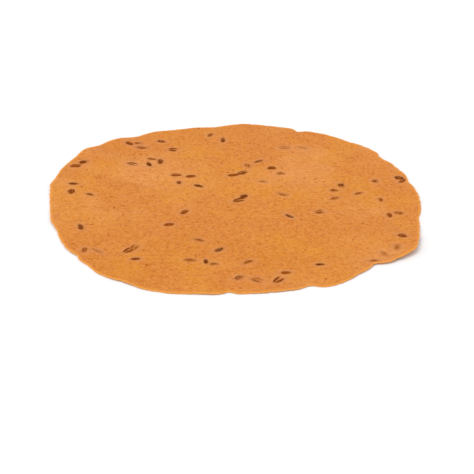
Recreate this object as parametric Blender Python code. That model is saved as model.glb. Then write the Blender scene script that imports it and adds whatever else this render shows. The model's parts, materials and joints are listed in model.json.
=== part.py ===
"""A raw red chilli papadum: one thin, sun-dried disc of lentil dough with cumin seeds rolled into it.

The disc lies on a table. Its middle is flat, its rim lifts in low waves, and its outline is the
slightly uneven circle of dough that was rolled out by hand. +Z is up, -Y is the front, and the
origin is on the table under the middle of the disc's box.
"""

import math
import random
from collections import namedtuple

import bmesh
import bpy
from mathutils import Matrix, Vector
from mathutils.geometry import delaunay_2d_cdt

# Driving dimensions, in metres.
RADIUS = 0.0890
THICKNESS = 0.00060
RIM_THICKNESS = 0.00042
FLAT_SHARE = 0.45
LIFT_CURVE = 1.6

# Where the outline swells or dips: bearing and half width in degrees, metres outward.
# Bearing 0 is +X, 90 is the back.
RIM_SWELLS = (
    (-31, 11, 0.0069),
    (-62, 6, 0.0025),
    (-113, 14, 0.0020),
    (-128, 8, 0.0019),
    (39, 9, 0.0005),
    (147, 20, 0.0045),
    (-84, 15, -0.0018),
    (64, 9, -0.0010),
    (101, 15, -0.0041),
    (-168, 15, -0.0023),
)

# Small tears in the rim: bearing and half width in degrees, metres inward.
RIM_NICKS = (
    (-44, 2.0, 0.0021),
    (-67, 2.4, 0.0026),
    (-91, 2.0, 0.0026),
    (-143, 1.5, 0.0012),
    (22, 1.5, 0.0004),
    (32, 2.5, 0.0015),
    (67, 2.0, 0.0028),
)

# Where the rim lifts off the table: bearing and half width in degrees, metres up.
RIM_LIFTS = (
    (144, 5, 0.0019),
    (131, 4, 0.0012),
    (116, 6, 0.0007),
    (103, 6, 0.0011),
    (88, 6, 0.0014),
    (66, 8, 0.0010),
    (54, 6, 0.0005),
    (38, 9, 0.0014),
    (10, 11, 0.0008),
    (-29, 11, 0.0024),
    (-51, 6, 0.0004),
    (-77, 9, 0.0004),
    (-98, 6, 0.0004),
    (-122, 8, 0.0005),
    (-146, 8, 0.0004),
    (-168, 9, 0.0008),
    (170, 6, 0.0009),
)

# Rolling leaves a fine unevenness along the rim: waves per turn and metres.
RIM_RIPPLES = ((13, 0.00034), (19, 0.00028), (29, 0.00018), (43, 0.00009), (61, 0.00005))
RIPPLE_PHASES_SEED = 7

# Rings of the disc's mesh: share of the radius and corners. The rim's tears need the most.
RINGS = (
    (0.15, 12),
    (0.30, 24),
    (0.45, 48),
    (0.57, 48),
    (0.68, 96),
    (0.77, 96),
    (0.85, 96),
    (0.91, 192),
    (0.96, 192),
    (1.00, 192),
)

# Cumin seeds, rolled flat into the dough, lie in loose groups: the middle of each group and
# its reach in metres, and how many seeds it has.
SEED_GROUPS = (
    (-0.080, 0.035, 0.010, 2),
    (-0.075, 0.010, 0.010, 3),
    (-0.045, 0.040, 0.010, 4),
    (-0.025, 0.025, 0.015, 4),
    (-0.005, 0.075, 0.010, 2),
    (-0.055, 0.065, 0.010, 3),
    (-0.030, 0.065, 0.010, 2),
    (0.055, 0.010, 0.010, 4),
    (0.075, 0.020, 0.010, 3),
    (0.075, -0.005, 0.010, 3),
    (0.005, 0.005, 0.005, 2),
    (0.030, -0.005, 0.015, 3),
    (0.030, 0.055, 0.010, 2),
    (0.010, 0.035, 0.015, 7),
    (-0.045, -0.055, 0.010, 3),
    (-0.065, -0.040, 0.015, 3),
    (-0.025, -0.020, 0.010, 2),
    (-0.010, -0.050, 0.015, 5),
    (0.065, -0.045, 0.015, 4),
    (0.020, -0.065, 0.020, 6),
)
SEED_LENGTH = (0.0040, 0.0060)
SEED_WIDTH = (0.0016, 0.0031)
SEED_HEIGHT = (0.00070, 0.00090)
SEED_CURVE = 0.10
SEED_SPACING = 0.0036
SEED_RIM_GAP = 0.0025
SEED_TABLE_GAP = 0.00005
SEED_DEPTH = (-0.00010, 0.00020)
SEED_SIDES = 6
SEED_BANDS = 4
# The rolling turns most seeds towards X: how far they stray from it, in degrees.
SEED_STRAY = 42
# Some seeds split lengthwise into two halves that lie side by side, a little spread.
SPLIT_SHARE = 0.20
SPLIT_WIDTH = 0.0014
SPLIT_GAP = 0.0016
SPLIT_SPREAD = 8
SEEDS_SEED = 4364

DOUGH_COLOUR = (0.745, 0.270, 0.060, 1.0)
DOUGH_ROUGHNESS = 0.6

Seed = namedtuple("Seed", "x y yaw length width height depth bend")


def clear_scene():
    for thing in list(bpy.data.objects):
        bpy.data.objects.remove(thing, do_unlink=True)


def bump(bearing, middle, half_width):
    """1 at the middle bearing, falling smoothly to 0 on both sides of it. All in degrees."""
    away = (bearing - middle + 180) % 360 - 180
    return math.exp(-((away / half_width) ** 2))


def ripple(bearing):
    """The fine unevenness of the outline at a bearing in degrees."""
    draw = random.Random(RIPPLE_PHASES_SEED)
    turn = math.radians(bearing)
    return sum(size * math.sin(waves * turn + draw.uniform(0, math.tau)) for waves, size in RIM_RIPPLES)


def rim_radius(bearing):
    """Distance from the middle to the rim, in metres."""
    swell = sum(size * bump(bearing, at, wide) for at, wide, size in RIM_SWELLS)
    nick = sum(size * bump(bearing, at, wide) for at, wide, size in RIM_NICKS)
    return RADIUS + swell - nick + ripple(bearing)


def rim_lift(bearing):
    """Height of the rim's underside over the table, in metres."""
    return sum(size * bump(bearing, at, wide) for at, wide, size in RIM_LIFTS)


def underside(x, y):
    """Height of the disc's underside over the table at a place, in metres."""
    bearing = math.degrees(math.atan2(y, x))
    share = math.hypot(x, y) / rim_radius(bearing)
    out = max(0.0, (share - FLAT_SHARE) / (1 - FLAT_SHARE))
    return rim_lift(bearing) * out**LIFT_CURVE


def thickness(share):
    """The dough thins towards the rim."""
    return RIM_THICKNESS + (THICKNESS - RIM_THICKNESS) * thick_share(share)


def thick_share(share):
    """1 in the middle of the disc, 0 at its rim."""
    return 1 - min(1.0, share) ** 6


def ring_points():
    """Points of the disc's mesh on the unit circle's rings, each ring turned half a step from the last."""
    points = [Vector((0, 0))]
    for number, (share, corners) in enumerate(RINGS):
        turns = [(corner + number % 2 / 2) * math.tau / corners for corner in range(corners)]
        points += [Vector((share * math.cos(turn), share * math.sin(turn))) for turn in turns]
    return points


def rolled_sheet():
    """The disc without its seeds: its underside in triangles, which Solidify thickens upwards."""
    points, _, faces, *_ = delaunay_2d_cdt(ring_points(), [], [], 0, 1e-7)
    bm = bmesh.new()
    for point in points:
        radius = rim_radius(math.degrees(math.atan2(point.y, point.x)))
        x, y = point * radius
        bm.verts.new((x, y, underside(x, y)))
    bm.verts.ensure_lookup_table()
    for face in faces:
        bm.faces.new([bm.verts[index] for index in face])
    mesh = bpy.data.meshes.new("papadum")
    bm.to_mesh(mesh)
    bm.free()
    sheet = bpy.data.objects.new("papadum", mesh)
    bpy.context.scene.collection.objects.link(sheet)
    thick = sheet.vertex_groups.new(name="thick")
    for index, point in enumerate(points):
        thick.add([index], thick_share(point.length), "REPLACE")
    solid = sheet.modifiers.new("Dough", "SOLIDIFY")
    solid.thickness = THICKNESS
    solid.offset = 1
    solid.vertex_group = thick.name
    solid.thickness_vertex_group = RIM_THICKNESS / THICKNESS
    return sheet


def scattered_seeds():
    """Places and sizes of the cumin seeds, group by group, with none on top of another."""
    draw = random.Random(SEEDS_SEED)
    seeds = []
    for middle_x, middle_y, group_reach, count in SEED_GROUPS:
        placed = 0
        while placed < count:
            reach, turn = group_reach * math.sqrt(draw.random()), draw.uniform(0, math.tau)
            x, y = middle_x + reach * math.cos(turn), middle_y + reach * math.sin(turn)
            if is_free(x, y, seeds):
                seeds += seed_or_halves(draw, x, y)
                placed += 1
    return seeds


def is_free(x, y, seeds):
    """Whether a seed fits here: inside the rim, and clear of the other seeds."""
    rim = rim_radius(math.degrees(math.atan2(y, x))) - SEED_RIM_GAP
    clear = all(math.hypot(x - seed.x, y - seed.y) > SEED_SPACING for seed in seeds)
    return clear and math.hypot(x, y) < rim


def seed_or_halves(draw, x, y):
    """One drawn seed, or the two narrow halves of a split one."""
    yaw = draw.gauss(0, SEED_STRAY)
    length, width, height = (draw.uniform(*span) for span in (SEED_LENGTH, SEED_WIDTH, SEED_HEIGHT))
    depth, bend = draw.uniform(*SEED_DEPTH), draw.choice((-1, 1))
    if draw.random() > SPLIT_SHARE:
        return [Seed(x, y, yaw, length, width, height, depth, bend)]
    side_x = -math.sin(math.radians(yaw)) * SPLIT_GAP / 2
    side_y = math.cos(math.radians(yaw)) * SPLIT_GAP / 2
    return [
        Seed(x + side_x, y + side_y, yaw + SPLIT_SPREAD, length, SPLIT_WIDTH, height, depth, 1),
        Seed(x - side_x, y - side_y, yaw - SPLIT_SPREAD, length, SPLIT_WIDTH, height, depth, -1),
    ]


def lie_on_sheet(seed):
    """The seed's place in the sheet: its middle, turned to its yaw and tilted with the dough."""
    step = 0.001
    bearing = math.degrees(math.atan2(seed.y, seed.x))
    share = math.hypot(seed.x, seed.y) / rim_radius(bearing)
    slope_x = (underside(seed.x + step, seed.y) - underside(seed.x - step, seed.y)) / (2 * step)
    slope_y = (underside(seed.x, seed.y + step) - underside(seed.x, seed.y - step)) / (2 * step)
    up = Vector((-slope_x, -slope_y, 1)).normalized()
    along = Vector((math.cos(math.radians(seed.yaw)), math.sin(math.radians(seed.yaw)), 0))
    along = (along - up * along.dot(up)).normalized()
    side = up.cross(along)
    middle = underside(seed.x, seed.y) + thickness(share) / 2 + seed.depth
    middle = max(middle, seed.height / 2 + SEED_TABLE_GAP)
    turned = Matrix((along, side, up)).transposed().to_4x4()
    return Matrix.Translation((seed.x, seed.y, middle)) @ turned


def cumin_seed(seed, kept_in):
    """One seed: a flattened spindle along its own X, bent a little sideways."""
    bm = bmesh.new()
    bmesh.ops.create_uvsphere(bm, u_segments=SEED_SIDES, v_segments=SEED_BANDS, radius=0.5)
    bmesh.ops.rotate(bm, cent=(0, 0, 0), matrix=Matrix.Rotation(math.pi / 2, 3, "Y"), verts=bm.verts)
    for vert in bm.verts:
        along, side, up = vert.co
        side += seed.bend * SEED_CURVE * (1 - (2 * along) ** 2)
        vert.co = (along * seed.length, side * seed.width, up * seed.height)
    mesh = bpy.data.meshes.new("cumin_seed")
    bm.to_mesh(mesh)
    bm.free()
    made = bpy.data.objects.new("cumin_seed", mesh)
    kept_in.objects.link(made)
    made.matrix_world = lie_on_sheet(seed)


def fuse(sheet, toppings):
    """Joins the toppings to the sheet, applies that, and removes them."""
    union = sheet.modifiers.new("Rolled in", "BOOLEAN")
    union.operation = "UNION"
    union.solver = "EXACT"
    union.operand_type = "COLLECTION"
    union.collection = toppings
    bpy.context.view_layer.update()
    whole = bpy.data.meshes.new_from_object(sheet.evaluated_get(bpy.context.evaluated_depsgraph_get()))
    sheet.modifiers.clear()
    sheet.vertex_groups.clear()
    sheet.data = whole
    for topping in list(toppings.objects):
        bpy.data.objects.remove(topping, do_unlink=True)
    bpy.data.collections.remove(toppings)


def centre_on_origin(piece):
    """Puts the middle of the piece's box over the origin, with its lowest point on the table."""
    places = [vert.co for vert in piece.data.vertices]
    middle = [(min(p[axis] for p in places) + max(p[axis] for p in places)) / 2 for axis in (0, 1)]
    lowest = min(p.z for p in places)
    piece.data.transform(Matrix.Translation((-middle[0], -middle[1], -lowest)))


def dough_material():
    dough = bpy.data.materials.new("papadum_dough")
    dough.use_nodes = True
    shader = dough.node_tree.nodes["Principled BSDF"]
    shader.inputs["Base Color"].default_value = DOUGH_COLOUR
    shader.inputs["Roughness"].default_value = DOUGH_ROUGHNESS
    shader.inputs["Metallic"].default_value = 0.0
    return dough


def main():
    clear_scene()
    sheet = rolled_sheet()
    toppings = bpy.data.collections.new("toppings")
    bpy.context.scene.collection.children.link(toppings)
    for seed in scattered_seeds():
        cumin_seed(seed, toppings)
    fuse(sheet, toppings)
    centre_on_origin(sheet)
    sheet.data.materials.clear()
    sheet.data.materials.append(dough_material())
    sheet.data.shade_smooth()
    sheet.data.set_sharp_from_angle(angle=math.radians(40))


main()
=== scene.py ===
"""The looks of a raw red chilli papadum: a thin dried disc of dough, cumin seeds and chilli flakes.

Each piece is made by its own operator, from sizes and colours in property groups. Lengths are in
metres and bearings in degrees: 0 is +X, the right, and 90 is +Y, the back.
"""

import json
import math
import random
from collections import namedtuple

import bpy
import numpy as np
from bpy.props import FloatProperty, FloatVectorProperty, IntProperty, PointerProperty
from mathutils import Matrix, Vector

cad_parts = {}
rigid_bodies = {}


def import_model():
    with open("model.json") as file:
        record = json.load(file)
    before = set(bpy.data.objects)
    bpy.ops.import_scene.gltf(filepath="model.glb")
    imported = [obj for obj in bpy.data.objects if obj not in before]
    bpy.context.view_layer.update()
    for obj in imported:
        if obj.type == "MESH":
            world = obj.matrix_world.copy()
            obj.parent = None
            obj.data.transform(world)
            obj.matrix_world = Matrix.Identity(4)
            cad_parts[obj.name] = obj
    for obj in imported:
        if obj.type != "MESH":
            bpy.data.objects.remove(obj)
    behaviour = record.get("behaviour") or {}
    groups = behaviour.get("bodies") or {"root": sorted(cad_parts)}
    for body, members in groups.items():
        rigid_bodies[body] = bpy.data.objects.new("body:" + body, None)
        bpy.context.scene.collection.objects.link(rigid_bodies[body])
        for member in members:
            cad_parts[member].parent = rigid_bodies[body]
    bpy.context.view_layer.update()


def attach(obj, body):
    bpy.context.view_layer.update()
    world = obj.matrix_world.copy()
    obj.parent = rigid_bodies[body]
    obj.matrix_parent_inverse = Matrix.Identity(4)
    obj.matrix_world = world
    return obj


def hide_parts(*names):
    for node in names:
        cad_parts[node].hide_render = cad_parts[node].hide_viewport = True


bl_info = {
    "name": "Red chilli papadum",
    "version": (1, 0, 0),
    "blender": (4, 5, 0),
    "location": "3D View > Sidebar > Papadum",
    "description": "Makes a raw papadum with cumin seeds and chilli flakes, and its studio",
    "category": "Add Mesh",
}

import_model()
BODY = "root"
NODE = "papadum"

# Where the outline swells or dips: bearing, half width in degrees, metres outward.
RIM_SWELLS = (
    (-31, 11, 0.0069),
    (-62, 6, 0.0025),
    (-113, 14, 0.0020),
    (-128, 8, 0.0019),
    (39, 9, 0.0005),
    (147, 20, 0.0045),
    (-84, 15, -0.0018),
    (64, 9, -0.0010),
    (101, 15, -0.0041),
    (-168, 15, -0.0023),
)

# Small tears in the rim: bearing, half width in degrees, metres inward.
RIM_NICKS = (
    (-44, 2.0, 0.0021),
    (-67, 2.4, 0.0026),
    (-91, 2.0, 0.0026),
    (-143, 1.5, 0.0012),
    (22, 1.5, 0.0004),
    (32, 2.5, 0.0015),
    (67, 2.0, 0.0028),
)

# Where the rim lifts off the table: bearing, half width in degrees, metres up.
RIM_LIFTS = (
    (144, 5, 0.0019),
    (131, 4, 0.0012),
    (116, 6, 0.0007),
    (103, 6, 0.0011),
    (88, 6, 0.0014),
    (66, 8, 0.0010),
    (54, 6, 0.0005),
    (38, 9, 0.0014),
    (10, 11, 0.0008),
    (-29, 11, 0.0024),
    (-51, 6, 0.0004),
    (-77, 9, 0.0004),
    (-98, 6, 0.0004),
    (-122, 8, 0.0005),
    (-146, 8, 0.0004),
    (-168, 9, 0.0008),
    (170, 6, 0.0009),
)

# Fine unevenness along the rim: waves per turn and metres.
RIM_RIPPLES = ((13, 0.00034), (19, 0.00028), (29, 0.00018), (43, 0.00009), (61, 0.00005))
RIPPLE_PHASES_SEED = 7
# The outline's box is measured at this many bearings, each half a step round from 0.
RIM_CORNERS = 192

# The rim's finest tears and crumbs: waves per turn, about how far they add up, and the torn spots'
# number, half width in degrees and depth in metres.
RAGGED_WAVES = range(80, 250, 17)
RAGGED_SUM = 3
RAGGED_SEED = 21
TORN_SPOTS = 18
TORN_WIDTH = (0.35, 0.9)
TORN_DEPTH = (0.0002, 0.0006)
# The rim's middle stands out a little between its two edges, more at some crumbs than at others.
RIM_BULGE = 0.00010
CRUMB_SHARE = 0.6
CRUMB_LENGTH = 0.0018
CRUMB_SEED = 31

# The dough's waves: their length, their share of the unevenness, and the seed of their draw.
TOP_WAVES = ((0.030, 1.0, 3), (0.010, 0.5, 4), (0.0034, 0.2, 5))
UNDERSIDE_WAVES = ((0.012, 0.25, 13), (0.0034, 0.15, 14))
BLISTER_REACH = (0.0012, 0.0032)
# A blister's share of the full height. Below 0 it is a dent.
BLISTER_RISE = (-0.6, 1)
BLISTERS_SEED = 6

# What changes towards the rim, as powers of the share of the radius: the higher, the nearer to it.
THINNING = 6
RELIEF_FADE = 12
RAGGED_FADE = 30
# Share of the relief that the rim loses.
RIM_SMOOTHNESS = 0.6
# Width of the painted highlight along the rim: a pale lit line painted on the dough's edge.
RIM_HIGHLIGHT_WIDTH = 0.0007

# How far past a seed's outline each thing reaches.
SWELL_MARGIN = 0.0006
HOLLOW_MARGIN = 0.0001
SHADE_MARGIN = 0.0004
HALO_MARGINS = (0.0005, 0.0016)
# How deep the underside is hollowed round a seed.
HOLLOW_DEPTH = 0.00019

# Loose groups of cumin seeds: the middle of each group, its reach, and how many seeds it has.
SEED_GROUPS = (
    (-0.080, 0.035, 0.010, 2),
    (-0.075, 0.010, 0.010, 3),
    (-0.045, 0.040, 0.010, 4),
    (-0.025, 0.025, 0.015, 4),
    (-0.005, 0.075, 0.010, 2),
    (-0.055, 0.065, 0.010, 3),
    (-0.030, 0.065, 0.010, 2),
    (0.055, 0.010, 0.010, 4),
    (0.075, 0.020, 0.010, 3),
    (0.075, -0.005, 0.010, 3),
    (0.005, 0.005, 0.005, 2),
    (0.030, -0.005, 0.015, 3),
    (0.030, 0.055, 0.010, 2),
    (0.010, 0.035, 0.015, 7),
    (-0.045, -0.055, 0.010, 3),
    (-0.065, -0.040, 0.015, 3),
    (-0.025, -0.020, 0.010, 2),
    (-0.010, -0.050, 0.015, 5),
    (0.065, -0.045, 0.015, 4),
    (0.020, -0.065, 0.020, 6),
)
SEED_LENGTH = (0.0040, 0.0060)
SEED_WIDTH = (0.0016, 0.0031)
SEED_HEIGHT = (0.00070, 0.00090)
SEED_CURVE = 0.10
SEED_SPACING = 0.0036
SEED_RIM_GAP = 0.0025
SEED_TABLE_GAP = 0.00005
SEED_DEPTH = (-0.00010, 0.00020)
SEED_STRAY = 42
SPLIT_SHARE = 0.20
SPLIT_WIDTH = 0.0014
SPLIT_GAP = 0.0016
SPLIT_SPREAD = 8
SEEDS_SEED = 4364
# A seed whose middle lies lower than this in the dough shows on the underside, or is filmed over.
SHOWS_BELOW = 0.00008
FILMED_BELOW = -0.00005
# The dough's slope under a seed is measured this far to each side.
SLOPE_STEP = 0.001

# A seed's own shape: how full its body and how round its tips are, as powers, how much it tapers,
# how square its section is, how crushed it is, and what is left of the cut side of a half.
SEED_FULLNESS = 2.5
SEED_TIPS = 0.66
SEED_TAPER = 0.08
SEED_SQUARENESS = 3
SEED_CRUSH = 0.07
CRUSH_WAVES = 3
CUT_SIDE = 0.45
# Half width of the seam on a seed's top, as a share of its half width.
SEAM_WIDTH = 0.19

# The film of dough over a seed: its cover on sunken and on bare seeds, and how it grows at the edge.
FILM_SUNKEN = (0.10, 0.24)
FILM_BARE = (-0.16, 0.02)
FILM_AT_EDGE = 0.31
SEED_TONES_SEED = 41
# Most seams are nearly closed: the higher this power, the fewer are open.
SEAM_RARITY = 2
SEAMS_SEED = 43

# The chilli flakes: corners, share of the largest size and how rare large ones are, width against
# length, unevenness of the outline, and the skirt that goes down into the dough.
FLAKE_RIM_GAP = 0.0012
FLAKE_CORNERS = (5, 8)
FLAKE_SIZES = (0.28, 1.0)
FLAKE_RARITY = 1.5
FLAKE_WIDTH = (0.35, 0.9)
FLAKE_OUTLINE = (0.7, 1.15)
FLAKE_SKIRT = 1.15
FLAKE_ROOT = 0.00006
FLAKE_CROWN = 1.2
FLAKES_SEED = 51

# Random waves are this much shorter or longer than the length asked for.
WAVE_STRETCH = (0.7, 1.4)

# How fully the chilli powder, the dry dough round a seed and the painted shade at its sides, partly
# the seed showing through, cover the dough.
POWDER_COVER = 0.6
HALO_COVER = 0.45
SEED_SHADE_COVER = 0.48
# The darkest seed's tone, and how much lighter the lightest is, as shares of the seed's colour.
DARKEST_TONE = 0.6
TONE_SPREAD = 0.8

# Where the papadum lies in the noise textures, which picks its patches, in metres.
NOISE_OFFSET = (2.94, 1.58, 1.67)

# The point of the table from which the camera's distance and elevation are measured.
CAMERA_FOOT = (0.00162, -0.00263, 0)
NEAREST_SHOWN = 0.01
SUN_DIRECTION = (0.45, 0.25, -1.0)
# The floor lies this far under the papadum, so that the two never touch.
FLOOR_DROP = 0.00003
FLOOR_ROUGHNESS = 0.9
FLOOR_SPECULAR = 0.1

# A disc's mesh has six sectors, and each ring has one point more in each than the ring inside it.
SECTORS = 6

# The colour sockets of a mix node share their names with others, so they are found by number.
MIX_SHARE, MIX_FIRST, MIX_SECOND, MIX_RESULT = 0, 6, 7, 2

Seed = namedtuple("Seed", "x y yaw length width height depth bend")

# One layer of colour: its colour, the noise that picks its places (features to the metre, detail,
# roughness and distortion), the span of that noise over which it appears, and its fullest cover.
Layer = namedtuple("Layer", "colour scale detail roughness distortion low high cover")
DOUGH_LAYERS = (
    Layer("dough_yellow", 33, 2, 0.55, 0.4, 0.46, 0.64, 0.60),
    Layer("dough_red", 130, 3, 0.55, 0.0, 0.60, 0.76, 0.50),
    Layer("shade", 620, 4, 0.65, 0.0, 0.32, 0.68, 0.29),
    Layer("shade", 240, 3, 0.60, 0.0, 0.40, 0.70, 0.16),
    Layer("shade", 95, 2, 0.55, 0.0, 0.40, 0.70, 0.10),
    Layer("flour", 770, 4, 0.65, 0.0, 0.32, 0.68, 0.30),
    Layer("shade", 540, 3, 0.55, 0.0, 0.53, 0.73, 0.50),
)


class DoughSizes(bpy.types.PropertyGroup):
    """Sizes of the disc of dough."""

    radius: FloatProperty(
        name="Radius",
        description="Distance from the middle to the rim before its swells",
        default=0.0890,
        unit="LENGTH",
    )
    thickness: FloatProperty(
        name="Thickness", description="Dough in the middle", default=0.00060, unit="LENGTH"
    )
    rim_thickness: FloatProperty(
        name="Rim thickness", description="Dough at the rim", default=0.00042, unit="LENGTH"
    )
    flat_share: FloatProperty(
        name="Flat share",
        description="Share of the radius that lies flat on the table",
        default=0.45,
        subtype="FACTOR",
    )
    lift_curve: FloatProperty(
        name="Lift curve", description="How late the rim turns up, as a power", default=1.6
    )
    rings: IntProperty(
        name="Rings", description="Rings of the mesh from the middle to the rim", default=124
    )
    unevenness: FloatProperty(
        name="Unevenness",
        description="Height of the slow waves that rolling and drying leave",
        default=0.00010,
        unit="LENGTH",
    )
    seed_swell: FloatProperty(
        name="Seed swell",
        description="How far the dough rises where a seed lies in it",
        default=0.00005,
        unit="LENGTH",
    )
    blister_height: FloatProperty(
        name="Blister height",
        description="Height of the small blisters",
        default=0.00008,
        unit="LENGTH",
    )
    blisters: IntProperty(name="Blisters", description="Number of small blisters", default=110)
    raggedness: FloatProperty(
        name="Raggedness", description="Fine tears along the rim", default=0.00010, unit="LENGTH"
    )


class ToppingSizes(bpy.types.PropertyGroup):
    """Sizes of the cumin seeds and the chilli flakes."""

    seed_sides: IntProperty(name="Seed sides", description="Points round a seed", default=36)
    seed_bands: IntProperty(name="Seed bands", description="Points along a seed", default=18)
    seed_ribs: IntProperty(name="Seed ribs", description="Ribs round a seed", default=9)
    rib_height: FloatProperty(
        name="Rib height",
        description="Height of the ribs, as a share of the seed's width",
        default=0.075,
        subtype="FACTOR",
    )
    flakes: IntProperty(name="Flakes", description="Chilli flakes on each face", default=300)
    flake_size: FloatProperty(
        name="Flake size", description="Length of the largest flakes", default=0.0015, unit="LENGTH"
    )
    flake_rise: FloatProperty(
        name="Flake rise",
        description="How far a flake stands out of the dough",
        default=0.00003,
        unit="LENGTH",
    )


def colour(name, description, value):
    """A colour property, in linear light."""
    return FloatVectorProperty(
        name=name, description=description, default=value, size=3, min=0, max=1, subtype="COLOR"
    )


class FoodColours(bpy.types.PropertyGroup):
    """Colours of the dough, the seeds and the flakes, in linear light."""

    dough: colour("Dough", "Most of the dough", (0.620, 0.200, 0.002))
    dough_pale: colour("Pale areas", "Where the dough dried first", (0.730, 0.283, 0.052))
    dough_yellow: colour("Yellow patches", "Where the chilli is thin", (0.690, 0.256, 0.001))
    dough_pink: colour("Pink patches", "Where the dough is drier", (0.635, 0.205, 0.014))
    dough_red: colour("Red patches", "Where the chilli is thick", (0.660, 0.168, 0.004))
    # Painted highlight: the pale line along the rim stands in for the light catching the thin edge.
    rim: colour("Rim", "The thin rim, which dries paler", (0.830, 0.335, 0.055))
    shade: colour("Powder shade", "Mottling from the chilli powder", (0.420, 0.065, 0.004))
    flour: colour("Flour", "Pale grains of lentil flour", (0.870, 0.400, 0.110))
    powder: colour("Chilli powder", "The fine specks in the dough", (0.330, 0.060, 0.006))
    halo: colour("Seed halo", "Dry dough round a seed", (0.620, 0.285, 0.130))
    # Painted shade round each seed, partly also the seed showing through the thin dough at its
    # sides.
    seed_show_through_and_shade: colour("Seed shade", "Thin dough over a seed's side", (0.290, 0.066, 0.001))
    film: colour("Dough film", "The thin dough over a sunken seed", (0.550, 0.182, 0.028))
    furrow: colour("Seed furrow", "Dark furrows of a cumin seed", (0.105, 0.015, 0.001))
    rib: colour("Seed rib", "Pale ribs of a cumin seed", (0.500, 0.130, 0.006))
    seam: colour("Seed seam", "Where a seed's halves meet", (0.560, 0.230, 0.070))
    flake: colour("Flake", "Chilli flakes", (0.480, 0.092, 0.004))
    flake_dark: colour("Dark flake", "The darkest chilli flakes", (0.300, 0.046, 0.002))


class StudioSettings(bpy.types.PropertyGroup):
    """The floor, the light and the camera."""

    floor: colour("Floor", "The plain floor", (0.90, 0.90, 0.90))
    floor_size: FloatProperty(
        name="Floor size", description="Side of the floor", default=60.0, unit="LENGTH"
    )
    sky: FloatProperty(
        name="Sky", description="Strength of the even light from all round", default=0.96
    )
    sun: FloatProperty(
        name="Sun", description="Strength of the wide soft light from above", default=0.70
    )
    sun_width: FloatProperty(
        name="Sun width",
        description="The wide soft light's angle, which softens its shadows",
        default=math.radians(35),
        subtype="ANGLE",
    )
    distance: FloatProperty(
        name="Distance",
        description="From the camera to the table under the papadum",
        default=0.80,
        unit="LENGTH",
    )
    elevation: FloatProperty(
        name="Elevation",
        description="The camera's height over the table, as an angle",
        default=math.radians(27.2),
        subtype="ANGLE",
    )
    lens: FloatProperty(
        name="Lens", description="Focal length in millimetres", default=127.4, unit="CAMERA"
    )
    aim_ahead: FloatProperty(
        name="Aim ahead",
        description="How far in front of the papadum's middle the camera looks",
        default=0.0321,
        unit="LENGTH",
    )


def sizes():
    """The sizes of the dough, as the scene has them."""
    return bpy.context.scene.papadum_dough


def topping_sizes():
    """The sizes of the seeds and flakes, as the scene has them."""
    return bpy.context.scene.papadum_toppings


def colours():
    """The colours, as the scene has them."""
    return bpy.context.scene.papadum_colours


# The disc's shape


def bump(bearing, middle, half_width):
    """1 at the middle bearing, falling smoothly to 0 on both sides of it. All in degrees."""
    away = (bearing - middle + 180) % 360 - 180
    return np.exp(-((away / half_width) ** 2))


def ripple(bearing):
    """The fine unevenness of the outline at a bearing in degrees."""
    draw = random.Random(RIPPLE_PHASES_SEED)
    turn = np.radians(bearing)
    return sum(
        size * np.sin(waves * turn + draw.uniform(0, math.tau)) for waves, size in RIM_RIPPLES
    )


def rim_radius(bearing):
    """Distance from the middle to the rim, in metres."""
    swell = sum(size * bump(bearing, at, wide) for at, wide, size in RIM_SWELLS)
    nick = sum(size * bump(bearing, at, wide) for at, wide, size in RIM_NICKS)
    return sizes().radius + swell - nick + ripple(bearing)


def rim_lift(bearing):
    """Height of the rim's underside over the table, in metres."""
    return sum(size * bump(bearing, at, wide) for at, wide, size in RIM_LIFTS)


def lift_share(share):
    """How much of the rim's lift reaches a share of the radius."""
    flat = sizes().flat_share
    return np.maximum(0, (share - flat) / (1 - flat)) ** sizes().lift_curve


def underside(x, y):
    """Height of the disc's underside over the table at a place, in metres."""
    bearing = np.degrees(np.arctan2(y, x))
    return rim_lift(bearing) * lift_share(np.hypot(x, y) / rim_radius(bearing))


def thickness(share):
    """The dough thins towards the rim."""
    thin = sizes().rim_thickness
    return thin + (sizes().thickness - thin) * (1 - np.minimum(1, share) ** THINNING)


def middle_of_rim():
    """The middle of the outline's box, which the finished papadum has over its origin."""
    bearings = (np.arange(RIM_CORNERS) + 0.5) * 360 / RIM_CORNERS
    reach = rim_radius(bearings)
    turn = np.radians(bearings)
    places = np.array([reach * np.cos(turn), reach * np.sin(turn)])
    return (places.min(axis=1) + places.max(axis=1)) / 2


def random_waves(x, y, wavelength, seed, waves=12):
    """Even random waves of about that length, from about -1 to 1: sines in random directions."""
    draw = random.Random(seed)
    total = np.zeros_like(x)
    for _ in range(waves):
        turn, phase = draw.uniform(0, math.tau), draw.uniform(0, math.tau)
        pitch = math.tau / (wavelength * draw.uniform(*WAVE_STRETCH))
        total += np.sin(pitch * (x * math.cos(turn) + y * math.sin(turn)) + phase)
    return total / math.sqrt(2 * waves)


# The cumin seeds' places


def scattered_seeds():
    """Places and sizes of the cumin seeds, group by group, with none on top of another."""
    draw = random.Random(SEEDS_SEED)
    seeds = []
    for middle_x, middle_y, group_reach, count in SEED_GROUPS:
        placed = 0
        while placed < count:
            reach, turn = group_reach * math.sqrt(draw.random()), draw.uniform(0, math.tau)
            x, y = middle_x + reach * math.cos(turn), middle_y + reach * math.sin(turn)
            if is_free(x, y, seeds):
                seeds += seed_or_halves(draw, x, y)
                placed += 1
    return seeds


def is_free(x, y, seeds):
    """Whether a seed fits here: inside the rim, and clear of the other seeds' middles."""
    rim = rim_radius(math.degrees(math.atan2(y, x))) - SEED_RIM_GAP
    clear = all(math.hypot(x - seed.x, y - seed.y) > SEED_SPACING for seed in seeds)
    return clear and math.hypot(x, y) < rim


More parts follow.
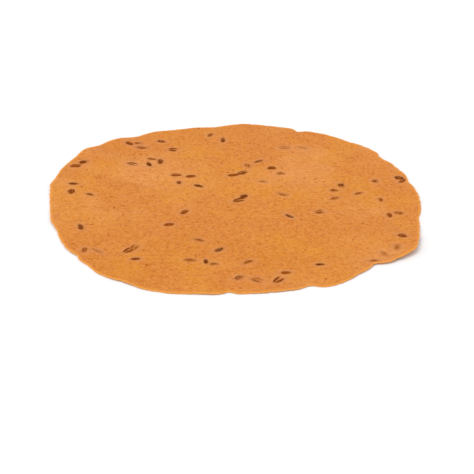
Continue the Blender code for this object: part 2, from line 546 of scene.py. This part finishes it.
def seed_or_halves(draw, x, y):
    """One drawn seed, or the two narrow halves of a split one."""
    yaw = draw.gauss(0, SEED_STRAY)
    length, width, height = (draw.uniform(*span) for span in (SEED_LENGTH, SEED_WIDTH, SEED_HEIGHT))
    depth, bend = draw.uniform(*SEED_DEPTH), draw.choice((-1, 1))
    if draw.random() > SPLIT_SHARE:
        return [Seed(x, y, yaw, length, width, height, depth, bend)]
    side_x = -math.sin(math.radians(yaw)) * SPLIT_GAP / 2
    side_y = math.cos(math.radians(yaw)) * SPLIT_GAP / 2
    return [
        Seed(x + side_x, y + side_y, yaw + SPLIT_SPREAD, length, SPLIT_WIDTH, height, depth, 1),
        Seed(x - side_x, y - side_y, yaw - SPLIT_SPREAD, length, SPLIT_WIDTH, height, depth, -1),
    ]


def is_half(seed):
    """Whether a seed is half of a split one."""
    return seed.width == SPLIT_WIDTH


def shows_below(seed):
    """Whether a seed shows on the underside: those lying lowest do."""
    return seed.depth < SHOWS_BELOW


def is_filmed(seed):
    """Whether a film of dough covers most of a seed: it does on those lying lowest of all."""
    return seed.depth < FILMED_BELOW


def lie_on_sheet(seed):
    """The seed's place in the disc: its middle, turned to its yaw and tilted with the dough."""
    share = math.hypot(seed.x, seed.y) / rim_radius(math.degrees(math.atan2(seed.y, seed.x)))
    rise_x = underside(seed.x + SLOPE_STEP, seed.y) - underside(seed.x - SLOPE_STEP, seed.y)
    rise_y = underside(seed.x, seed.y + SLOPE_STEP) - underside(seed.x, seed.y - SLOPE_STEP)
    up = Vector((-rise_x / (2 * SLOPE_STEP), -rise_y / (2 * SLOPE_STEP), 1)).normalized()
    along = Vector((math.cos(math.radians(seed.yaw)), math.sin(math.radians(seed.yaw)), 0))
    along = (along - up * along.dot(up)).normalized()
    side = up.cross(along)
    middle = underside(seed.x, seed.y) + thickness(share) / 2 + seed.depth
    middle = max(middle, seed.height / 2 + SEED_TABLE_GAP)
    turned = Matrix((along, side, up)).transposed().to_4x4()
    return Matrix.Translation((seed.x, seed.y, middle)) @ turned


def nearness(x, y, seed, margin):
    """1 at a seed's middle, falling smoothly past its outline. The margin widens the outline."""
    turn = math.radians(seed.yaw)
    along = (x - seed.x) * math.cos(turn) + (y - seed.y) * math.sin(turn)
    side = (y - seed.y) * math.cos(turn) - (x - seed.x) * math.sin(turn)
    reach = (along / (seed.length / 2 + margin)) ** 2 + (side / (seed.width / 2 + margin)) ** 2
    return np.exp(-(reach**2))


def closeness(x, y, seeds, margin):
    """How near each place is to the nearest of the seeds, from 0 to 1."""
    near = np.zeros_like(x)
    for seed in seeds:
        near = np.maximum(near, nearness(x, y, seed, margin))
    return near


# The dough's relief


def blisters(x, y):
    """Small round blisters and dents, from -1 to 1, scattered over the disc."""
    draw = random.Random(BLISTERS_SEED)
    relief = np.zeros_like(x)
    for _ in range(sizes().blisters):
        bearing, share = draw.uniform(0, math.tau), math.sqrt(draw.random())
        reach = share * sizes().radius
        at_x, at_y = reach * math.cos(bearing), reach * math.sin(bearing)
        wide, rise = draw.uniform(*BLISTER_REACH), draw.uniform(*BLISTER_RISE)
        relief += rise * np.exp(-((x - at_x) ** 2 + (y - at_y) ** 2) / wide**2)
    return relief


def top_height(x, y, seeds):
    """Height of the dough's top at these places, with its relief."""
    bearing = np.degrees(np.arctan2(y, x))
    share = np.hypot(x, y) / rim_radius(bearing)
    settle = 1 - RIM_SMOOTHNESS * np.clip(share, 0, 1) ** RELIEF_FADE
    relief = sum(
        part * sizes().unevenness * random_waves(x, y, length, seed)
        for length, part, seed in TOP_WAVES
    )
    relief += sizes().blister_height * blisters(x, y)
    relief += sizes().seed_swell * closeness(x, y, seeds, SWELL_MARGIN)
    return rim_lift(bearing) * lift_share(share) + thickness(share) + settle * relief


def bottom_height(x, y, bare_seeds):
    """Height of the dough's underside, hollowed round the seeds that show there."""
    bearing = np.degrees(np.arctan2(y, x))
    share = np.hypot(x, y) / rim_radius(bearing)
    relief = sum(
        part * sizes().unevenness * (1 + random_waves(x, y, length, seed))
        for length, part, seed in UNDERSIDE_WAVES
    )
    relief += HOLLOW_DEPTH * closeness(x, y, bare_seeds, HOLLOW_MARGIN)
    return rim_lift(bearing) * lift_share(share) + np.maximum(0, relief)


def ragged_rim(bearing):
    """Fine tears and crumbs along the outline, in metres outward."""
    turn = np.radians(bearing)
    draw = random.Random(RAGGED_SEED)
    rough = sum(
        np.sin(waves * turn + draw.uniform(0, math.tau)) / math.sqrt(waves / RAGGED_WAVES.start)
        for waves in RAGGED_WAVES
    )
    ragged = sizes().raggedness * rough / RAGGED_SUM
    for _ in range(TORN_SPOTS):
        at, wide, deep = draw.uniform(0, 360), draw.uniform(*TORN_WIDTH), draw.uniform(*TORN_DEPTH)
        ragged = ragged - deep * bump(bearing, at, wide)
    return ragged


# Mesh helpers


def ring_layout(rings):
    """Shares and bearings of a disc of points: its middle, then rings of 6, 12, 18 and so on."""
    shares, bearings = [0.0], [0.0]
    for ring in range(1, rings + 1):
        corners = SECTORS * ring
        shares += [ring / rings] * corners
        bearings += [360 * corner / corners for corner in range(corners)]
    return np.array(shares), np.array(bearings)


def ring_start(ring):
    """Index of a ring's first point in ring_layout."""
    return 1 + SECTORS * ring * (ring - 1) // 2 if ring else 0


def ring_faces(rings):
    """Triangles of ring_layout's points, facing up."""
    faces = []
    for ring in range(rings):
        inner, outer = ring_start(ring), ring_start(ring + 1)
        inner_count, outer_count = max(1, SECTORS * ring), SECTORS * (ring + 1)
        for sector in range(SECTORS):
            for step in range(ring + 1):
                inner_a = inner + (sector * ring + step) % inner_count
                inner_b = inner + (sector * ring + step + 1) % inner_count
                outer_a = outer + sector * (ring + 1) + step
                outer_b = outer + (sector * (ring + 1) + step + 1) % outer_count
                faces.append((inner_a, outer_a, outer_b))
                if step < ring:
                    faces.append((inner_a, outer_b, inner_b))
    return faces


def wall_faces(count, upper, lower, middle):
    """The rim's faces: from the top's edge out to a middle ring, and back to the underside's."""
    faces = []
    for here in range(count):
        after = (here + 1) % count
        faces.append((upper + here, middle + here, middle + after, upper + after))
        faces.append((middle + here, lower + here, lower + after, middle + after))
    return faces


def put_in_scene(name, data):
    """A new object in the scene, in the place of an earlier one of that name."""
    old = bpy.data.objects.get(name)
    if old:
        bpy.data.objects.remove(old, do_unlink=True)
    made = bpy.data.objects.new(name, data)
    bpy.context.scene.collection.objects.link(made)
    return made


def new_piece(name, points, faces, material, measures):
    """A smooth mesh object from points and faces, with its float attributes, riding on the body."""
    mesh = bpy.data.meshes.new(name)
    mesh.from_pydata([tuple(point) for point in points], [], faces)
    for label, values in measures.items():
        mesh.attributes.new(label, "FLOAT", "POINT").data.foreach_set("value", np.float32(values))
    mesh.materials.append(material)
    mesh.shade_smooth()
    mesh.validate()
    piece = put_in_scene(name, mesh)
    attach(piece, BODY)
    return piece


def centred(points):
    """The points moved so that the outline's middle is over the origin."""
    middle = middle_of_rim()
    return np.asarray(points) - np.array([middle[0], middle[1], 0])


# Materials


class Nodes:
    """A material's node tree, built up by short calls."""

    def __init__(self, name):
        self.material = bpy.data.materials.get(name) or bpy.data.materials.new(name)
        self.material.use_nodes = True
        self.tree = self.material.node_tree
        self.tree.nodes.clear()
        self.shader = self.add("ShaderNodeBsdfPrincipled")
        output = self.add("ShaderNodeOutputMaterial")
        self.join(self.shader.outputs["BSDF"], output.inputs["Surface"])
        self.place = self.moved(self.add("ShaderNodeTexCoord").outputs["Object"], NOISE_OFFSET)

    def add(self, kind, **settings):
        """A new node with these settings."""
        node = self.tree.nodes.new(kind)
        for key, value in settings.items():
            setattr(node, key, value)
        return node

    def join(self, source, target):
        """A link from one node's output to another's input."""
        self.tree.links.new(source, target)

    def moved(self, place, offset):
        """The place moved by an offset, so that the textures' common middle isn't on the piece."""
        node = self.add("ShaderNodeVectorMath", operation="ADD")
        self.join(place, node.inputs[0])
        node.inputs[1].default_value = offset
        return node.outputs["Vector"]

    def noise(self, scale, detail=3, roughness=0.55, distortion=0.0):
        """Noise with features of about 1/scale metres."""
        node = self.add("ShaderNodeTexNoise")
        self.join(self.place, node.inputs["Vector"])
        node.inputs["Scale"].default_value = scale
        node.inputs["Detail"].default_value = detail
        node.inputs["Roughness"].default_value = roughness
        node.inputs["Distortion"].default_value = distortion
        return node.outputs["Fac"]

    def cells(self, scale):
        """Distance from the middle of the nearest cell, with about scale cells to the metre."""
        node = self.add("ShaderNodeTexVoronoi")
        self.join(self.place, node.inputs["Vector"])
        node.inputs["Scale"].default_value = scale
        return node.outputs["Distance"]

    def span(self, value, low, high, start=0.0, end=1.0):
        """The value mapped from low..high to start..end, smoothly and clamped."""
        node = self.add("ShaderNodeMapRange", interpolation_type="SMOOTHSTEP")
        self.join(value, node.inputs["Value"])
        node.inputs["From Min"].default_value = low
        node.inputs["From Max"].default_value = high
        node.inputs["To Min"].default_value = start
        node.inputs["To Max"].default_value = end
        return node.outputs["Result"]

    def maths(self, operation, first, second):
        """Two values, each a number or a socket, joined by an operation such as MULTIPLY."""
        node = self.add("ShaderNodeMath", operation=operation)
        for socket, value in zip(node.inputs, (first, second)):
            if isinstance(value, (int, float)):
                socket.default_value = value
            else:
                self.join(value, socket)
        return node.outputs["Value"]

    def mixed(self, share, first, second, blend="MIX"):
        """Two colours mixed. A share of 0 gives the first."""
        node = self.add("ShaderNodeMix", data_type="RGBA", blend_type=blend)
        for number, value in ((MIX_SHARE, share), (MIX_FIRST, first), (MIX_SECOND, second)):
            socket = node.inputs[number]
            if isinstance(value, (int, float)):
                socket.default_value = value
            elif isinstance(value, bpy.types.NodeSocket):
                self.join(value, socket)
            else:
                socket.default_value = (*value, 1.0)
        return node.outputs[MIX_RESULT]

    def layered(self, base, layer, tone):
        """A layer of colour over a base."""
        noise = self.noise(layer.scale, layer.detail, layer.roughness, layer.distortion)
        share = self.span(noise, layer.low, layer.high, end=layer.cover)
        return self.mixed(share, base, getattr(tone, layer.colour))

    def measure(self, label):
        """A float attribute of the mesh."""
        return self.add("ShaderNodeAttribute", attribute_name=label).outputs["Fac"]

    def relief(self, height, distance, below=None):
        """A bump whose full height is that distance in metres, on top of another."""
        node = self.add("ShaderNodeBump")
        node.inputs["Distance"].default_value = distance
        self.join(height, node.inputs["Height"])
        if below is not None:
            self.join(below, node.inputs["Normal"])
        return node.outputs["Normal"]

    def finish(self, colour_socket, roughness_socket, normal, specular):
        """The material, with its colour, roughness, relief and shine joined to the shader."""
        self.join(colour_socket, self.shader.inputs["Base Color"])
        self.join(roughness_socket, self.shader.inputs["Roughness"])
        self.join(normal, self.shader.inputs["Normal"])
        self.shader.inputs["Specular IOR Level"].default_value = specular
        return self.material


def dough_material():
    """Dried dough: orange, with yellow, pink and red patches, fine mottling and chilli powder."""
    tone = colours()
    nodes = Nodes("dried_dough")
    dried = nodes.span(nodes.noise(scale=9, detail=0), low=0.38, high=0.62)
    base = nodes.mixed(dried, tone.dough, tone.dough_pale)
    moist = nodes.span(nodes.noise(scale=24, detail=2), low=0.44, high=0.60)
    base = nodes.mixed(moist, tone.dough_pink, base)
    for layer in DOUGH_LAYERS:
        base = nodes.layered(base, layer, tone)
    grains = nodes.span(nodes.cells(scale=1100), low=0.10, high=0.30, start=1, end=0)
    chosen = nodes.span(nodes.noise(scale=700, detail=2), low=0.50, high=0.58)
    specks = nodes.maths("MULTIPLY", nodes.maths("MULTIPLY", grains, chosen), POWDER_COVER)
    base = nodes.mixed(specks, base, tone.powder)
    dry = nodes.maths("MULTIPLY", nodes.measure("halo"), HALO_COVER)
    base = nodes.mixed(dry, base, tone.halo)
    # Painted shade at each seed's sides, partly the seed showing through the thin dough.
    sides = nodes.maths("MULTIPLY", nodes.measure("seed_show_through_and_shade"), SEED_SHADE_COVER)
    base = nodes.mixed(sides, base, tone.seed_show_through_and_shade)
    # The rim is painted paler: a painted highlight along the edge.
    base = nodes.mixed(nodes.measure("rim"), base, tone.rim)
    roughness = nodes.span(nodes.noise(scale=400), low=0.3, high=0.7, start=0.56, end=0.70)
    grain = nodes.noise(scale=1400, detail=4, roughness=0.6)
    fine_grain = nodes.noise(scale=4200, detail=3, roughness=0.6)
    coarse_relief = nodes.relief(grain, distance=0.00003)
    normal = nodes.relief(fine_grain, distance=0.000015, below=coarse_relief)
    made = nodes.finish(base, roughness, normal, specular=0.20)
    nodes.shader.inputs["Subsurface Weight"].default_value = 0.12
    nodes.shader.inputs["Subsurface Radius"].default_value = (1.0, 0.40, 0.12)
    nodes.shader.inputs["Subsurface Scale"].default_value = 0.0009
    return made


def cumin_material():
    """Cumin: dark furrows, paler ribs, a broken seam, and dough over the edges and sunken seeds."""
    tone = colours()
    nodes = Nodes("cumin")
    worn = nodes.span(nodes.noise(scale=1600), low=0.35, high=0.65, start=0.5, end=1.0)
    rib = nodes.maths("MULTIPLY", nodes.measure("rib"), worn)
    base = nodes.mixed(rib, tone.furrow, tone.rib)
    lighter = nodes.maths("MULTIPLY", nodes.measure("tone"), TONE_SPREAD)
    shade = nodes.maths("ADD", lighter, DARKEST_TONE)
    base = nodes.mixed(1.0, base, shade, blend="MULTIPLY")
    broken = nodes.span(nodes.noise(scale=1100, detail=2), low=0.35, high=0.60, start=0.3, end=1.0)
    seam = nodes.maths("MULTIPLY", nodes.measure("seam"), broken)
    base = nodes.mixed(nodes.span(seam, low=0.05, high=0.60, end=0.85), base, tone.seam)
    film = nodes.maths("ADD", nodes.measure("film"), nodes.noise(scale=800))
    base = nodes.mixed(nodes.span(film, low=0.50, high=0.95, end=0.9), base, tone.film)
    shine = nodes.noise(scale=1500, detail=2)
    roughness = nodes.span(shine, low=0.3, high=0.7, start=0.55, end=0.72)
    normal = nodes.relief(nodes.noise(scale=5000), distance=0.00002)
    return nodes.finish(base, roughness, normal, specular=0.03)


def flake_material():
    """Chilli skin: red-brown, darker in places, a little glossier than the dough."""
    tone = colours()
    nodes = Nodes("chilli_flake")
    base = nodes.mixed(nodes.measure("tone"), tone.flake, tone.flake_dark)
    dusted = nodes.span(nodes.noise(scale=1800), low=0.4, high=0.7, end=0.4)
    base = nodes.mixed(dusted, base, tone.dough)
    shine = nodes.noise(scale=2500, detail=2)
    roughness = nodes.span(shine, low=0.3, high=0.7, start=0.42, end=0.60)
    normal = nodes.relief(nodes.noise(scale=6000, detail=2), distance=0.00002)
    return nodes.finish(base, roughness, normal, specular=0.03)


# The seeds' meshes


def seed_points(seed, half):
    """Points of one seed about its own middle, lying along X, and its measures at each point."""
    settings = topping_sizes()
    draw = random.Random(round(1e6 * seed.x))
    phases = [draw.uniform(0, math.tau) for _ in range(CRUSH_WAVES)]
    sides, bands = settings.seed_sides, settings.seed_bands
    points = []
    measures = {"rib": [], "bare": [], "seam": []}
    for band in range(1, bands):
        along = -math.cos(math.pi * band / bands)
        full = (1 - abs(along) ** SEED_FULLNESS) ** SEED_TIPS * (1 - SEED_TAPER * along)
        for side_number in range(sides):
            turn = math.tau * side_number / sides
            across, upward = math.cos(turn), math.sin(turn)
            rib = 0.5 + 0.5 * math.cos(settings.seed_ribs * turn)
            swell = 1 + settings.rib_height * (rib - 0.5) * 2
            corner = abs(across) ** SEED_SQUARENESS + abs(upward) ** SEED_SQUARENESS
            squared = corner ** (-1 / SEED_SQUARENESS)
            side = across * squared * swell * full / 2
            up = upward * squared * swell * full / 2
            if half and side * seed.bend < 0:
                side *= CUT_SIDE
            crush = sum(
                math.sin(phase + (2 + k) * along + k * turn) for k, phase in enumerate(phases)
            )
            side *= 1 + SEED_CRUSH * crush
            side += seed.bend * SEED_CURVE * (1 - along**2)
            points.append((along * seed.length / 2, side * seed.width, up * seed.height))
            open_seam = 0 if half else math.exp(-((across / SEAM_WIDTH) ** 2))
            measures["rib"].append(rib**2 * full)
            measures["bare"].append(abs(upward) * full)
            measures["seam"].append(full * open_seam)
    for tip in (-seed.length / 2, seed.length / 2):
        points.append((tip, 0, 0))
        for values in measures.values():
            values.append(0.0)
    return points, measures


def seed_faces(sides, bands):
    """Faces of seed_points' bands and of its two tips, facing outward."""
    last_row = (bands - 2) * sides
    first_tip = (bands - 1) * sides
    last_tip = first_tip + 1
    faces = []
    for here in range(sides):
        after = (here + 1) % sides
        for band in range(bands - 2):
            row, next_row = band * sides, (band + 1) * sides
            faces.append((row + here, row + after, next_row + after, next_row + here))
        faces.append((first_tip, after, here))
        faces.append((last_tip, last_row + here, last_row + after))
    return faces


def join_seeds(name, seeds, half):
    """One piece from many seeds, each in its place in the dough."""
    one_seed_faces = seed_faces(topping_sizes().seed_sides, topping_sizes().seed_bands)
    points, faces = [], []
    measures = {"rib": [], "film": [], "tone": [], "seam": []}
    draw = random.Random(SEED_TONES_SEED)
    seam_draw = random.Random(SEAMS_SEED)
    for seed in seeds:
        place = lie_on_sheet(seed)
        own_points, own = seed_points(seed, half)
        start = len(points)
        points += [tuple(place @ Vector(point)) for point in own_points]
        faces += [tuple(start + index for index in face) for face in one_seed_faces]
        cover = draw.uniform(*(FILM_SUNKEN if is_filmed(seed) else FILM_BARE))
        open_seam = seam_draw.random() ** SEAM_RARITY
        measures["rib"] += own["rib"]
        measures["film"] += [cover + FILM_AT_EDGE * (1 - bare) for bare in own["bare"]]
        measures["tone"] += [draw.random()] * len(own_points)
        measures["seam"] += [open_seam * share for share in own["seam"]]
    return new_piece(name, centred(points), faces, cumin_material(), measures)


# Operators


class PAPADUM_OT_dough(bpy.types.Operator):
    """Make the disc of dough, with its waves, relief and ragged rim"""

    bl_idname = "papadum.dough"
    bl_label = "Dough disc"

    def execute(self, context):
        rings = sizes().rings
        seeds = scattered_seeds()
        bare_seeds = [seed for seed in seeds if shows_below(seed)]
        shares, bearings = ring_layout(rings)
        turn = np.radians(bearings)
        reach = shares * (rim_radius(bearings) + ragged_rim(bearings) * shares**RAGGED_FADE)
        x = reach * np.cos(turn)
        y = reach * np.sin(turn)
        top = np.stack([x, y, top_height(x, y, seeds)], axis=1)
        bottom = np.stack([x, y, bottom_height(x, y, bare_seeds)], axis=1)
        rim = slice(ring_start(rings), ring_start(rings + 1))
        rim_points = SECTORS * rings
        outward = np.stack([np.cos(turn[rim]), np.sin(turn[rim]), np.zeros(rim_points)], axis=1)
        crumbs = random_waves(x[rim], y[rim], CRUMB_LENGTH, CRUMB_SEED)
        bulge = RIM_BULGE * (1 + CRUMB_SHARE * crumbs)
        middle_ring = (top[rim] + bottom[rim]) / 2 + outward * bulge[:, None]
        points = np.concatenate([top, bottom, middle_ring])
        below = len(top)
        faces = ring_faces(rings)
        faces += [(a + below, c + below, b + below) for a, b, c in faces]
        faces += wall_faces(rim_points, rim.start, below + rim.start, 2 * below)
        inner, outer = HALO_MARGINS
        looks = {
            "halo": closeness(x, y, seeds, outer) - closeness(x, y, seeds, inner),
            # Painted shade round each seed, partly the seed showing through the thin dough.
            "seed_show_through_and_shade": closeness(x, y, seeds, SHADE_MARGIN),
            # rim: where the painted highlight along the edge lies.
            "rim": np.exp(-(reach.max() * (1 - shares) / RIM_HIGHLIGHT_WIDTH) ** 2),
        }
        measures = {label: np.concatenate([look, look, look[rim]]) for label, look in looks.items()}
        material = dough_material()
        piece = new_piece("dough_sheet", centred(points), faces, material, measures)
        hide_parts(NODE)
        return {"FINISHED"}


class PAPADUM_OT_seeds(bpy.types.Operator):
    """Make the whole cumin seeds, ribbed and slightly bent"""

    bl_idname = "papadum.seeds"
    bl_label = "Cumin seeds"

    def execute(self, context):
        whole = [seed for seed in scattered_seeds() if not is_half(seed)]
        join_seeds("cumin_seeds", whole, half=False)
        return {"FINISHED"}


class PAPADUM_OT_split_seeds(bpy.types.Operator):
    """Make the halves of the split cumin seeds, lying side by side"""

    bl_idname = "papadum.split_seeds"
    bl_label = "Split cumin seeds"

    def execute(self, context):
        halves = [seed for seed in scattered_seeds() if is_half(seed)]
        join_seeds("split_cumin_seeds", halves, half=True)
        return {"FINISHED"}


class PAPADUM_OT_flakes(bpy.types.Operator):
    """Make the chilli flakes, pressed almost flush into both faces"""

    bl_idname = "papadum.flakes"
    bl_label = "Chilli flakes"

    def execute(self, context):
        seeds = scattered_seeds()
        bare_seeds = [seed for seed in seeds if shows_below(seed)]
        settings = topping_sizes()
        draw = random.Random(FLAKES_SEED)
        points, faces, tone, signs = [], [], [], []
        for side in (1, -1):
            for _ in range(settings.flakes):
                flake, own_faces = self.flake(draw, settings, side, len(points))
                points += flake
                faces += own_faces
                tone += [draw.random()] * len(flake)
                signs += [side] * len(flake)
        x, y, rise = np.array(points).T
        signs = np.array(signs)
        surface = np.where(signs > 0, top_height(x, y, seeds), bottom_height(x, y, bare_seeds))
        height = np.maximum(surface + signs * rise, 0)
        placed = centred(np.stack([x, y, height], axis=1))
        material = flake_material()
        new_piece("chilli_flakes", placed, faces, material, {"tone": tone})
        return {"FINISHED"}

    def flake(self, draw, settings, side, start):
        """One thin chip with an uneven outline: a top, a skirt down into the dough, and a base."""
        bearing = draw.uniform(0, 360)
        reach = math.sqrt(draw.random()) * (rim_radius(bearing) - FLAKE_RIM_GAP)
        at_x = reach * math.cos(math.radians(bearing))
        at_y = reach * math.sin(math.radians(bearing))
        corners = draw.randint(*FLAKE_CORNERS)
        size = settings.flake_size / 2 * draw.uniform(*FLAKE_SIZES) ** FLAKE_RARITY
        narrow, yaw = draw.uniform(*FLAKE_WIDTH), draw.uniform(0, math.tau)
        outline = [draw.uniform(*FLAKE_OUTLINE) for _ in range(corners)]
        points = []
        for spread, rise in ((FLAKE_SKIRT, -FLAKE_ROOT), (1.0, settings.flake_rise)):
            for corner, uneven in enumerate(outline):
                turn = math.tau * corner / corners
                along = size * spread * uneven * math.cos(turn)
                across = size * spread * uneven * math.sin(turn) * narrow
                x = at_x + along * math.cos(yaw) - across * math.sin(yaw)
                y = at_y + along * math.sin(yaw) + across * math.cos(yaw)
                points.append((x, y, rise))
        points.append((at_x, at_y, settings.flake_rise * FLAKE_CROWN))
        low, high, hub = start, start + corners, start + 2 * corners
        faces = []
        for corner in range(corners):
            after = (corner + 1) % corners
            faces.append((low + corner, low + after, high + after, high + corner))
            faces.append((high + corner, high + after, hub))
        faces.append(tuple(range(low, high))[::-1])
        return points, faces if side > 0 else [face[::-1] for face in faces]


class PAPADUM_OT_studio(bpy.types.Operator):
    """Make the floor, the light and the camera"""

    bl_idname = "papadum.studio"
    bl_label = "Studio"

    def execute(self, context):
        studio = context.scene.papadum_studio
        self.add_floor(studio)
        self.add_sky(context.scene, studio)
        self.add_sun(studio)
        self.add_camera(context.scene, studio)
        context.scene.view_settings.view_transform = "Standard"
        return {"FINISHED"}

    def add_floor(self, studio):
        """A plain floor that reaches out of sight."""
        half = studio.floor_size / 2
        sides = ((-half, -half), (half, -half), (half, half), (-half, half))
        mesh = bpy.data.meshes.new("floor")
        mesh.from_pydata([(x, y, -FLOOR_DROP) for x, y in sides], [], [(0, 1, 2, 3)])
        nodes = Nodes("floor")
        nodes.shader.inputs["Base Color"].default_value = (*studio.floor, 1.0)
        nodes.shader.inputs["Roughness"].default_value = FLOOR_ROUGHNESS
        nodes.shader.inputs["Specular IOR Level"].default_value = FLOOR_SPECULAR
        mesh.materials.append(nodes.material)
        put_in_scene("floor", mesh)

    def add_sky(self, scene, studio):
        """An even white light from all round."""
        world = bpy.data.worlds.new("studio_sky")
        world.use_nodes = True
        background = world.node_tree.nodes["Background"]
        background.inputs["Color"].default_value = (1, 1, 1, 1)
        background.inputs["Strength"].default_value = studio.sky
        scene.world = world

    def add_sun(self, studio):
        """A soft light from above, the left and a little in front."""
        light = bpy.data.lights.new("soft_sun", "SUN")
        light.energy = studio.sun
        light.angle = studio.sun_width
        lamp = put_in_scene("soft_sun", light)
        lamp.rotation_euler = Vector(SUN_DIRECTION).to_track_quat("-Z", "Y").to_euler()

    def add_camera(self, scene, studio):
        """The camera stands in front and above, and looks a little ahead of the papadum."""
        foot = Vector(CAMERA_FOOT)
        away = Vector((0, -math.cos(studio.elevation), math.sin(studio.elevation)))
        camera = put_in_scene("camera", bpy.data.cameras.new("camera"))
        camera.location = foot + away * studio.distance
        aim = foot - Vector((0, studio.aim_ahead, 0))
        camera.rotation_euler = (aim - camera.location).to_track_quat("-Z", "Y").to_euler()
        camera.data.lens = studio.lens
        camera.data.clip_start = NEAREST_SHOWN
        scene.camera = camera


class PAPADUM_PT_panel(bpy.types.Panel):
    """The papadum's pieces, sizes and colours"""

    bl_idname = "PAPADUM_PT_panel"
    bl_label = "Papadum"
    bl_space_type = "VIEW_3D"
    bl_region_type = "UI"
    bl_category = "Papadum"

    def draw(self, context):
        for operator in OPERATORS:
            self.layout.operator(operator.bl_idname)
        for label in SETTINGS:
            box = self.layout.box()
            group = getattr(context.scene, label)
            for field in group.__annotations__:
                box.prop(group, field)


SETTINGS = {
    "papadum_dough": DoughSizes,
    "papadum_toppings": ToppingSizes,
    "papadum_colours": FoodColours,
    "papadum_studio": StudioSettings,
}
OPERATORS = (
    PAPADUM_OT_dough,
    PAPADUM_OT_seeds,
    PAPADUM_OT_split_seeds,
    PAPADUM_OT_flakes,
    PAPADUM_OT_studio,
)


def register():
    """Makes the settings, operators and panel known to Blender."""
    for label, group in SETTINGS.items():
        bpy.utils.register_class(group)
        setattr(bpy.types.Scene, label, PointerProperty(type=group))
    for kind in (*OPERATORS, PAPADUM_PT_panel):
        bpy.utils.register_class(kind)


def unregister():
    """Takes them away again, last first."""
    for kind in (PAPADUM_PT_panel, *reversed(OPERATORS)):
        bpy.utils.unregister_class(kind)
    for label, group in SETTINGS.items():
        delattr(bpy.types.Scene, label)
        bpy.utils.unregister_class(group)


def main():
    """Makes every piece."""
    for startup in list(bpy.data.objects):
        if startup.name in ("Cube", "Light", "Camera"):
            bpy.data.objects.remove(startup, do_unlink=True)
    register()
    bpy.ops.papadum.dough()
    bpy.ops.papadum.seeds()
    bpy.ops.papadum.split_seeds()
    bpy.ops.papadum.flakes()
    bpy.ops.papadum.studio()


if __name__ == "__main__":
    main()
